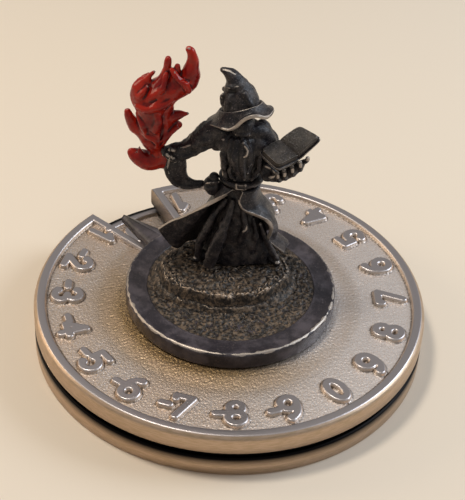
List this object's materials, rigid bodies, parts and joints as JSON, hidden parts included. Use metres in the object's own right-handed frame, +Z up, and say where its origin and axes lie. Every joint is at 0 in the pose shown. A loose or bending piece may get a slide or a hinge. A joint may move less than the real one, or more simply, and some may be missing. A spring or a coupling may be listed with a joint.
{
  "type": "life counter",
  "caption": "Tabletop life counter: a notched ones dial turns over a tens dial, under a turning pointer base that carries a small cast wizard figure with a flame.",
  "frame": {"origin": "middle of the underside of the lower dial, on the surface that it rests on", "axes": "+Z up along the pivot, -Y towards the viewer in front of the figure, +X to the viewer's right"},
  "size_m": [0.0508, 0.0508, 0.0417],
  "materials": {
    "pewter": "cast pewter, stippled field, rims worn bright",
    "steel": "turned steel",
    "brass": "spring brass",
    "nylon": "natural nylon",
    "black_paint": "black paint over cast metal, worn light at its edges",
    "ground_paint": "matt black wash over a rough casting",
    "page_paint": "thin grey paint over cast metal",
    "red_enamel": "glossy dark red enamel, worn in spots"
  },
  "bodies": {
    "dial_base": {"tens_dial": "pewter", "wave_washer": "brass"},
    "counting_dial": {"ones_dial": "pewter"},
    "pointer": {"pivot_screw": "steel", "head_washer": "steel", "thrust_washer": "nylon", "pointer_base": "black_paint", "ground_fill": "ground_paint", "mound": "ground_paint", "right_boot": "black_paint", "left_boot": "black_paint", "robe": "black_paint", "left_coat_tail": "black_paint", "right_coat_tail": "black_paint", "belt": "black_paint", "buckle": "black_paint", "torso": "black_paint", "pouch": "black_paint", "shoulder_cape": "black_paint", "head": "black_paint", "beard": "black_paint", "hat_crown": "black_paint", "hat_brim": "black_paint", "right_sleeve": "black_paint", "right_cuff": "black_paint", "right_hand": "black_paint", "left_sleeve": "black_paint", "left_hand": "black_paint", "book_cover": "black_paint", "far_pages": "page_paint", "near_pages": "page_paint", "flame": "red_enamel"}
  },
  "joints": [
    {"name": "ones_dial_turn", "type": "hinge", "parent": "dial_base", "child": "counting_dial", "pos_m": [0, 0, 0.005], "axis": [0, 0, 1], "continuous": true},
    {"name": "pointer_turn", "type": "hinge", "parent": "dial_base", "child": "pointer", "pos_m": [0, 0, 0.007], "axis": [0, 0, 1], "continuous": true}
  ]
}
